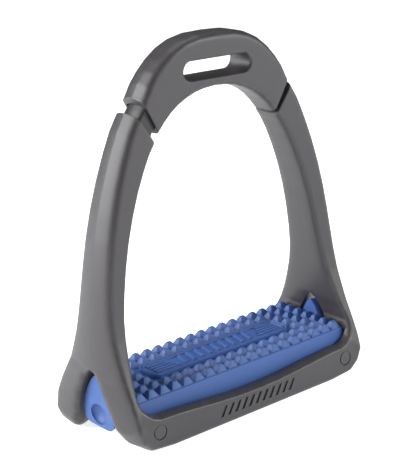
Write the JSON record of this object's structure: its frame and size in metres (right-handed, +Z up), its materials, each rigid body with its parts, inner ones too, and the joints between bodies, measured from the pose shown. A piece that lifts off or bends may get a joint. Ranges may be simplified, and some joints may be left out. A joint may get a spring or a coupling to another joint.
{
  "type": "stirrup iron",
  "caption": "Moulded polymer stirrup iron with a wide splayed foot, a rubber tread pad with studs, and a crown with a leather slot that rocks slightly on two neck tongues.",
  "frame": {"origin": "middle of the foot on the ground plane: centred between the two arms and between the front and rear foot bars", "axes": "+Z up towards the leather slot, +X towards the right arm seen from the front, +Y to the rear; the slot and the rock axis run along Y"},
  "size_m": [0.1354, 0.056, 0.1619],
  "materials": {
    "charcoal_polymer": "fine moulded grain, charcoal grey",
    "neck_polymer": "smooth satin, dark grey",
    "pin_steel": "plain ground pin",
    "blue_rubber": "matte moulded rubber, mid blue",
    "black_rubber": "matte"
  },
  "bodies": {
    "lower": {"lower_frame": "charcoal_polymer", "left_neck_tongue": "neck_polymer", "right_neck_tongue": "neck_polymer", "left_tongue_pin": "pin_steel", "right_tongue_pin": "pin_steel", "tread_pad": "blue_rubber"},
    "crown": {"crown": "charcoal_polymer", "left_stop_pin": "pin_steel", "right_stop_pin": "pin_steel", "left_buffer": "black_rubber", "right_buffer": "black_rubber"}
  },
  "joints": [
    {"name": "crown_rock", "type": "hinge", "parent": "lower", "child": "crown", "pos_m": [0, 0, 0.106], "axis": [0, 1, 0], "range_deg": [-6, 2.4]}
  ]
}
